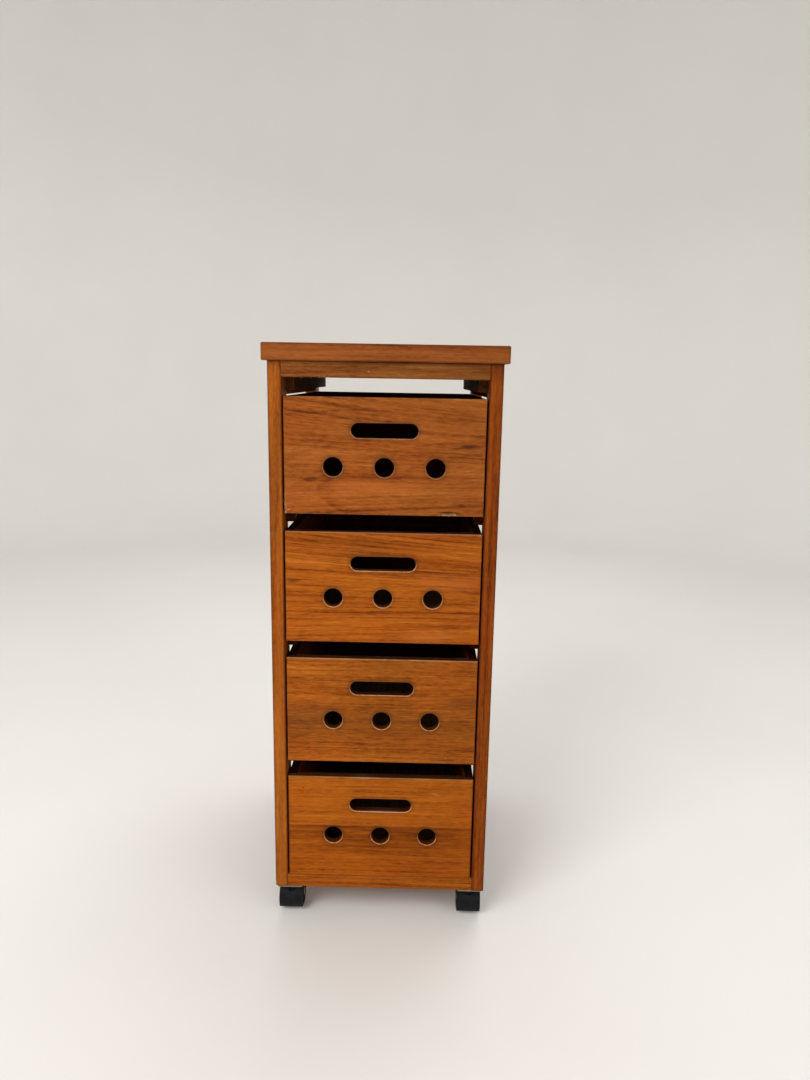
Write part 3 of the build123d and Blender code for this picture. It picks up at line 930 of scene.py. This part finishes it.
@dataclass
class Carcass:
    """Top board, posts, rails, runners and the hardware that holds them."""

    left: Rgb = (0.87, 0.91, 0.70)
    right: Rgb = (0.58, 0.47, 0.25)
    # painted shade: the kicker and runner tints, also used on the stop blocks, are far darker than the wood, standing
    # in for the shade inside the carcass
    kicker: Rgb = (0.32, 0.46, 1.00)
    runner: Rgb = (0.16, 0.14, 0.15)

    def build(self, raw: bpy.types.Material) -> None:
        """Dress every node of the carcass.

        Args:
            raw: the finish inside chips.
        """
        # painted sheen: the blue raised in the top board's tint stands in for the sky caught on its front edge
        teak("top_board", Grain.ACROSS, 1.3, heart=(-160.0, -90.0), tint=(0.71, 0.75, 1.12), wear=0.15, edge=0.5,
             figure=0.4, lines=0.6, short=0.5, fade=0.92)
        teak("bottom_board", Grain.ACROSS, 2.1, tint=(0.80, 0.77, 0.40), figure=0.6, wear=0.1, edge=0.5, lines=1.6,
             bands=1.0)
        # painted shade: the rail's darker, greyer tint and its darkening to the right stand in for the shadow under the
        # top board's overhang
        rail = teak("top_rail_front", Grain.ACROSS, 3.7, tint=(0.76, 0.97, 1.42), figure=0.4, wear=0.04, edge=0.6,
                    bands=1.1, fade=0.62,
                    spots=(Spot(-21.0, 781.0, 1.6, 1.0, 0.8, 0.0, PALE), Spot(17.0, 778.0, 1.2, 0.8, 0.6, 0.0, PALE)))
        ChippedBoard("top_rail_front", "carcass", "frame_wood", (
            Chip((-79.0, -194.0, 772.6), (4.6, 4.5, 3.2), 2.0),
            Chip((-72.5, -195.0, 772.6), (2.6, 2.2, 1.4), 5.0),
        )).build(rail, raw)
        teak("top_rail_back", Grain.ACROSS, 4.4, tint=(0.8, 0.85, 1.0), figure=0.4)
        posts = {}
        # painted shade: the right post's dark spot at its top stands in for the shadow under the top board's overhang;
        # the left post's pale spots are wear
        joint_wear_and_shade = {"left": (Spot(-131.9, 622.0, 0.9, 2.0, 0.7, 0.0, PALE), Spot(-132.0, 614.0, 0.8, 3.0, 0.5, 0.0, PALE)),
                 "right": (Spot(140.0, 790.0, 40.0, 26.0, 0.4),)}
        for number, (side, tint) in enumerate((("left", self.left), ("right", self.right))):
            posts[side] = teak("front_post_" + side, Grain.UPRIGHT, 5.2 + number, heart=(60.0, 45.0), slope=0.02,
                               tint=tint, figure=0.4, lines=0.7 + 0.7 * number, wear=0.1, edge=0.8,
                               spots=joint_wear_and_shade[side])
            teak("back_post_" + side, Grain.UPRIGHT, 7.9 + number, heart=(-60.0, 40.0), tint=tint, figure=0.4)
            teak("side_rail_top_" + side, Grain.INTO, 9.5 + number, heart=(50.0, 80.0), tint=tint, shine=0.0, rough=0.9)
            teak("side_rail_bottom_" + side, Grain.INTO, 11.2 + number, heart=(-60.0, -80.0), tint=tint, shine=0.0,
                 rough=0.9)
            teak("kicker_" + side, Grain.INTO, 13.6 + number, tint=self.kicker, wear=0.6, shine=0.05, rough=0.8)
            for level in (1, 2, 3):
                teak(f"runner_{level}_{side}", Grain.INTO, 15.0 + level + 4.0 * number, tint=self.runner, wear=0.04,
                     shine=0.02, rough=0.8)
        ChippedBoard("front_post_left", "carcass", "frame_wood", (
            Chip((-150.3, -195.2, 55.0), (1.6, 1.9, 4.5), 3.0),
            Chip((-149.8, -195.0, 50.3), (2.4, 2.4, 1.3), 8.0),
        )).build(posts["left"], raw)
        teak("drawer_stop_blocks", Grain.INTO, 27.4, tint=self.runner, wear=0.0, shine=0.02, rough=0.8)
        # painted shade: the plate's zinc is dull and tarnished, and darker than that as painted shade under the carcass
        zinc = Steel((0.30, 0.28, 0.25), (0.07, 0.055, 0.04), 0.45)
        dress("castor_plates", zinc.material("zinc_plate"))
        dull = Steel((0.50, 0.46, 0.37), (0.20, 0.16, 0.10), 0.42, (2.0, 2.0, 2.0))
        screw = dull.material("dull_screw")
        dress("wood_screws", screw)
        dress("castor_screws", screw)


@dataclass
class Drawer:
    """One crate drawer."""

    number: int
    look: dict
    chips: tuple[Chip, ...] = ()
    # painted shade: this tint darkens the drawer's sides and back for the shade inside the carcass
    inner: Rgb = (0.34, 0.28, 0.30)
    slot_length: float = 87.0
    slot_height: float = 19.4
    slot_drop: float = 42.2
    hole_diameter: float = 25.6
    hole_drop: float = 89.5
    hole_spacing: float = 66.7

    def cutouts(self) -> tuple[Cutout, ...]:
        """Places of the hand slot and the round holes."""
        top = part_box(f"drawer_{self.number}_front")[1].z / MM
        holes = [Cutout(self.hole_spacing * step, top - self.hole_drop, self.hole_diameter, self.hole_diameter)
                 for step in (-1, 0, 1)]
        return (Cutout(0.0, top - self.slot_drop, self.slot_length, self.slot_height), *holes)

    def build(self, raw: bpy.types.Material) -> None:
        """Dress the drawer's five boards.

        Args:
            raw: the finish inside chips.
        """
        name = f"drawer_{self.number}_"
        front = teak(name + "front", Grain.ACROSS, 30.0 + 3.3 * self.number, cutouts=self.cutouts(), top_shade=0.15,
                     **self.look)
        if self.chips:
            ChippedBoard(name + "front", name[:-1], "front_wood", self.chips).build(front, raw)
        for step, part in enumerate(("side_left", "side_right")):
            teak(name + part, Grain.INTO, 50.0 + 2.7 * self.number + step, tint=self.inner, wear=0.08, rough=0.7,
                 shine=0.0, top_shade=0.2)
        teak(name + "back", Grain.ACROSS, 70.0 + 1.9 * self.number, tint=self.inner, wear=0.08, rough=0.7, shine=0.0,
             top_shade=0.2)
        dress(name + "bottom", Plywood(3.1 * self.number).material(name + "plywood"))


@dataclass
class Castor:
    """A hooded castor with two wheels on one axle."""

    place: str
    wheel_radius: float = 0.020
    wheel_width: float = 0.0086
    wheel_inner: float = 0.0083
    hub_radius: float = 0.0080
    rim_width: float = 0.0036
    dish: float = 0.0014
    bore: float = 0.00306
    spokes: int = 6

    def build(self, hood_finish: bpy.types.Material, wheel_finish: bpy.types.Material,
              axle_finish: bpy.types.Material) -> None:
        """Dress the hood and the axle and build both wheels.

        Args:
            hood_finish: the hood's material.
            wheel_finish: the wheels' material.
            axle_finish: the axle's material.
        """
        stem = "castor_" + self.place
        dress(stem + "_hood", hood_finish)
        dress(stem + "_axle", axle_finish)
        low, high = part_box(stem + "_axle")
        for side, sign in (("left", -1.0), ("right", 1.0)):
            wheel = self.wheel()
            mirror = Matrix.Translation((low + high) / 2) @ Matrix.Diagonal((sign, 1.0, 1.0, 1.0))
            bmesh.ops.transform(wheel.bm, matrix=mirror, verts=wheel.bm.verts)
            if sign < 0:
                bmesh.ops.reverse_faces(wheel.bm, faces=wheel.bm.faces)
            for face in wheel.bm.faces:
                face.smooth = True
            mesh = wheel.mesh(f"{stem}_tyre_{side}")
            mesh.set_sharp_from_angle(angle=math.radians(38.0))
            mesh.materials.append(wheel_finish)
            settle(mesh.name, mesh, f"{stem}_roll_{side}", [f"{stem}_wheel_{side}"])

    def wheel(self) -> Shape:
        """A right-hand wheel with a crowned, twice grooved tread and spokes in its dish.

        Returns:
            The wheel round the axle's middle.
        """
        shape = Shape()
        near, far, radius = self.wheel_inner, self.wheel_inner + self.wheel_width, self.wheel_radius
        rim = radius - self.rim_width
        # Up the inner face, over the tread and its two grooves, down the outer face, dish and hub
        outline = [(near, self.bore), (near, radius - 0.002), (near + 0.0006, radius - 0.0007), (near + 0.0018, radius),
                   (near + 0.0026, radius), (near + 0.0028, radius - 0.0004), (near + 0.0032, radius - 0.0004),
                   (near + 0.0034, radius), (far - 0.0034, radius), (far - 0.0032, radius - 0.0004),
                   (far - 0.0028, radius - 0.0004), (far - 0.0026, radius), (far - 0.0018, radius),
                   (far - 0.0006, radius - 0.0007), (far, radius - 0.002), (far, rim + 0.0003), (far - 0.0003, rim),
                   (far - self.dish, rim - 0.0004), (far - self.dish, self.hub_radius + 0.0004),
                   (far - 0.0003, self.hub_radius), (far, self.hub_radius - 0.0003), (far, 0.0052),
                   (far - 0.0012, 0.0052), (far - 0.0012, self.bore)]
        shape.lathe(outline, 56)
        for spoke in range(self.spokes):
            turn = Matrix.Rotation(2 * math.pi * spoke / self.spokes, 4, "X")
            shape.block((far - self.dish - 0.0003, self.hub_radius - 0.0008, -0.0006),
                        (far - 0.0003, rim + 0.0008, 0.0006), 0.0002, turn)
        return shape


# Studio


@dataclass
class Studio:
    """Plain pale floor and backdrop, soft lamps and a pale surround."""

    pale: Rgb = (0.82, 0.80, 0.77)
    surround: float = 0.50
    reach: float = 2.6
    sweep: float = 0.9
    wall: float = 3.0

    def build(self) -> None:
        """Make the floor, the lamps and the world."""
        self.floor()
        self.lamp("key", (-1.5, -2.3, 2.3), 1.7, 64.0)
        self.lamp("fill", (2.1, -1.9, 1.3), 1.8, 15.0)
        self.lamp("top", (0.3, 0.9, 2.7), 1.8, 30.0)
        self.world()

    def floor(self) -> None:
        """A round floor that sweeps up far away."""
        bm = bmesh.new()
        outline = [(0.0, 0.0), (0.6, 0.0), (1.5, 0.0), (self.reach, 0.0)]
        outline += [(self.reach + self.sweep * math.sin(math.radians(turn)),
                     self.sweep - self.sweep * math.cos(math.radians(turn))) for turn in range(10, 91, 10)]
        outline.append((self.reach + self.sweep, self.wall))
        ring = [bm.verts.new((radius, 0.0, height)) for radius, height in outline]
        edges = [bm.edges.new(pair) for pair in zip(ring, ring[1:])]
        bmesh.ops.spin(bm, geom=ring + edges, cent=(0, 0, 0), axis=(0, 0, 1), angle=2 * math.pi, steps=72,
                       use_merge=True, use_duplicate=False)
        bmesh.ops.remove_doubles(bm, verts=bm.verts, dist=1e-6)
        bmesh.ops.recalc_face_normals(bm, faces=bm.faces)
        if sum(face.normal.z for face in bm.faces) < 0:
            bmesh.ops.reverse_faces(bm, faces=bm.faces)
        mesh = bpy.data.meshes.new("studio_floor")
        for face in bm.faces:
            face.smooth = True
        bm.to_mesh(mesh)
        bm.free()
        paint = Paint("studio_floor")
        cloud = paint.noise(paint.place(), (0.002, 0.002, 0.002), 3.0)
        tint = paint.ramp(cloud, ((0.3, tuple(0.97 * c for c in self.pale)), (0.7, self.pale)))
        mesh.materials.append(paint.finish(tint, 0.7 + (cloud - 0.5) * 0.1, Specular_IOR_Level=0.2))
        floor = bpy.data.objects.new("studio_floor", mesh)
        bpy.context.scene.collection.objects.link(floor)

    def lamp(self, name: str, place: Point, size: float, power: float) -> None:
        """Hang one soft square lamp that looks at the unit.

        Args:
            name: the lamp's name.
            place: where it hangs.
            size: its side.
            power: its power.
        """
        light = bpy.data.lights.new(name, "AREA")
        light.shape, light.size, light.energy = "SQUARE", size, power
        item = bpy.data.objects.new(name, light)
        item.location = place
        item.rotation_euler = (Vector((0.0, 0.0, 0.4)) - Vector(place)).to_track_quat("-Z", "Y").to_euler()
        bpy.context.scene.collection.objects.link(item)

    def world(self) -> None:
        """A pale surround that the camera and shiny surfaces see, and a softer one that lights."""
        world = bpy.data.worlds.new("surround")
        bpy.context.scene.world = world
        world.use_nodes = True
        nodes = Nodes(world.node_tree)
        path = nodes.add("ShaderNodeLightPath")
        rays = [Value(nodes, path.outputs[name]) for name in
                ("Is Camera Ray", "Is Glossy Ray", "Is Transmission Ray")]
        seen = rays[0].most(rays[1]).most(rays[2])
        strength = self.surround + seen * (1.0 - self.surround)
        shade = world.node_tree.nodes["Background"]
        shade.inputs["Color"].default_value = (*self.pale, 1.0)
        nodes.feed(shade.inputs["Strength"], strength)


@dataclass
class PhotoCamera:
    """The photograph's viewing angle, as fitted to the unit's own edges."""

    focal: float = 792.55
    height: float = 1080.0
    sensor: float = 36.0
    pitch: float = 11.531
    yaw: float = -0.798
    roll: float = -0.984
    place: Point = (0.0427, -1.2174, 0.7736)

    def build(self) -> None:
        """Make the scene's camera."""
        pitch, yaw, roll = (math.radians(angle) for angle in (self.pitch, self.yaw, self.roll))
        ahead = Vector((math.sin(yaw) * math.cos(pitch), math.cos(yaw) * math.cos(pitch), -math.sin(pitch)))
        level = Vector((math.cos(yaw), -math.sin(yaw), 0.0))
        down = ahead.cross(level)
        right = level * math.cos(roll) + down * math.sin(roll)
        under = down * math.cos(roll) - level * math.sin(roll)
        lens = bpy.data.cameras.new("photo_camera")
        lens.sensor_width = self.sensor
        lens.lens = self.focal / self.height * self.sensor
        camera = bpy.data.objects.new("photo_camera", lens)
        bpy.context.scene.collection.objects.link(camera)
        axes = Matrix((right, -under, -ahead)).transposed().to_4x4()
        camera.matrix_world = Matrix.Translation(Vector(self.place)) @ axes
        bpy.context.scene.camera = camera


DRAWER_LOOKS = {
    1: {"heart": (120.0, -40.0), "slope": 0.10, "ring": 9.0, "figure": 0.5, "lean": 0.032, "fan": 0.0013,
        "wear": 0.6, "short": 0.7, "lines": 0.9, "rim": 0.5,
        "fade": 0.90, "tint": (0.81, 0.85, 0.95), "spots": (
            Spot(109.0, 688.5, 15.0, 4.2, 0.85, 3.0), Spot(96.0, 686.0, 12.0, 2.0, 0.6, 8.0),
            Spot(-95.0, 643.5, 11.0, 4.0, 0.7, 5.0), Spot(101.0, 612.0, 7.0, 2.2, 0.7),
            Spot(92.0, 614.0, 4.0, 1.2, 0.5),
            Spot(-100.0, 729.0, 36.0, 1.8, 0.75, -5.5), Spot(-50.0, 722.0, 28.0, 1.6, 0.65, -8.0),
            Spot(30.0, 641.0, 75.0, 0.9, 0.40, -1.0), Spot(-5.0, 727.0, 18.0, 2.4, 0.35, -3.0),
            Spot(78.0, 680.0, 36.0, 1.0, 0.45, -3.0), Spot(40.0, 661.0, 22.0, 1.5, 0.3, 2.0),
            # painted shadow: the first spot on this line darkens the top of the chips in the bottom edge
            Spot(84.0, 602.2, 15.0, 1.9, 1.0), Spot(-129.6, 622.0, 0.9, 2.2, 0.7, 0.0, PALE),
            Spot(-12.0, 634.0, 90.0, 11.0, 0.32, 0.0, GOLD),
            Spot(-129.4, 609.0, 1.0, 2.4, 0.7, 0.0, PALE), Spot(-127.4, 605.6, 1.6, 0.9, 0.7, 40.0, PALE),
            Spot(-123.6, 603.2, 0.8, 1.6, 0.8, 0.0, PALE), Spot(-129.0, 599.4, 1.6, 1.4, 0.8, 0.0, PALE),
        )},
    2: {"heart": (40.0, -230.0), "slope": 0.05, "ring": 7.5, "figure": 0.9, "wander": 10.0, "lean": 0.025,
        "fan": 0.0009, "top_wear": 0.7, "short": 0.6, "lines": 1.25, "bands": 0.7, "dashes": 0.6, "fade": 0.92,
        "tint": (0.95, 0.89, 0.50), "spots": (
            Spot(-120.0, 507.5, 13.0, 3.4, 0.75), Spot(98.0, 500.0, 16.0, 1.2, 0.5), Spot(106.0, 467.0, 12.0, 1.3, 0.5),
            Spot(-108.0, 509.0, 14.0, 1.0, 0.5), Spot(122.0, 483.0, 7.0, 1.6, 0.5),
            Spot(-60.0, 532.0, 26.0, 1.0, 0.4, -7.0), Spot(40.0, 556.0, 30.0, 1.0, 0.3, -9.0),
            Spot(-25.0, 553.0, 150.0, 26.0, 0.20), Spot(90.0, 508.0, 60.0, 16.0, 0.25, 0.0, GOLD),
            Spot(62.0, 433.0, 46.0, 10.0, 0.35, 0.0, GOLD),
        )},
    3: {"heart": (60.0, 210.0), "slope": 0.04, "ring": 6.0, "figure": 0.5, "wander": 12.0, "top_wear": 1.0,
        "lines": 0.8, "short": 0.8, "fade": 0.80, "tint": (0.97, 1.00, 0.66), "spots": (
            Spot(0.0, 305.0, 170.0, 34.0, 0.36), Spot(-5.0, 388.0, 90.0, 16.0, 0.20),
            Spot(-124.0, 296.0, 44.0, 34.0, 0.30), Spot(118.0, 338.0, 34.0, 14.0, 0.40),
            Spot(-100.0, 317.0, 48.0, 24.0, 0.22, 0.0, (0.10, 0.04, 0.015)), Spot(4.5, 398.0, 2.0, 1.2, 0.9, 0.0, PALE),
            Spot(-116.0, 370.0, 12.0, 3.0, 0.3), Spot(-112.0, 296.0, 16.0, 1.0, 0.35),
            Spot(90.0, 256.0, 1.4, 0.8, 0.7, 0.0, PALE),
        )},
    4: {"heart": (60.0, 190.0), "slope": 0.04, "ring": 9.0, "figure": 0.3, "top_wear": 0.7,
        "lines": 0.7, "bands": 0.35, "wear": 0.06, "edge": 0.5, "fade": 0.85, "seam": 148.0,
        "tint": (1.02, 1.00, 0.48), "spots": (
            # painted highlight: the first spot on this line is a glint on the top front arris
            Spot(-26.0, 222.8, 25.0, 0.8, 0.9, 0.0, ARRIS_GLINT), Spot(30.0, 221.5, 22.0, 1.2, 0.5),
            Spot(-109.0, 206.0, 1.4, 1.6, 0.8), Spot(-40.0, 209.0, 40.0, 0.8, 0.5), Spot(-60.0, 115.0, 16.0, 1.6, 0.5),
            # painted highlight: the last spot on this line is a light line along the slot's lower lip
            Spot(78.0, 200.0, 9.0, 0.7, 0.5, -20.0, PALE), Spot(3.0, 171.0, 38.0, 0.9, 0.8, 0.0, LIP_GLINT),
        )},
}

DRAWER_CHIPS = {
    1: (
        Chip((78.5, -195.0, 597.6), (6.0, 2.6, 3.2), 1.0), Chip((89.5, -195.2, 597.8), (7.0, 2.4, 3.4), 4.0),
        Chip((-129.2, -195.1, 599.0), (2.4, 1.3, 2.4), 6.0), Chip((-129.8, -195.2, 604.5), (1.2, 1.1, 1.8), 9.0),
        Chip((-126.2, -195.4, 602.6), (1.3, 0.9, 1.0), 11.0), Chip((-129.9, -195.1, 612.0), (1.0, 1.0, 2.4), 13.0),
        Chip((-129.9, -195.1, 620.5), (0.9, 0.9, 1.6), 15.0), Chip((-124.2, -195.0, 597.6), (2.2, 1.2, 0.9), 17.0),
    ),
}


def main() -> None:
    """Build the sub-assemblies in order and report them."""
    logging.basicConfig(level=logging.INFO, format="%(message)s")
    bpy.context.scene.view_settings.view_transform = "Standard"
    PhotoCamera().build()
    Studio().build()
    raw = RawWood().material("raw_wood")
    Carcass().build(raw)
    for number, look in DRAWER_LOOKS.items():
        Drawer(number, look, DRAWER_CHIPS.get(number, ())).build(raw)
    # painted highlight along each hood's side edges
    hood = Nylon(rim=(130.0, 17.2)).material("hood_nylon")
    wheel = Nylon((0.0030, 0.0030, 0.0032), 0.4, 0.52).material("wheel_nylon")
    axle = Steel((0.55, 0.55, 0.55), (0.22, 0.20, 0.17), 0.38, (2.0, 2.0, 2.0)).material("axle_steel")
    for place in ("front_left", "front_right", "back_left", "back_right"):
        Castor(place).build(hood, wheel, axle)


if __name__ == "__main__":
    main()
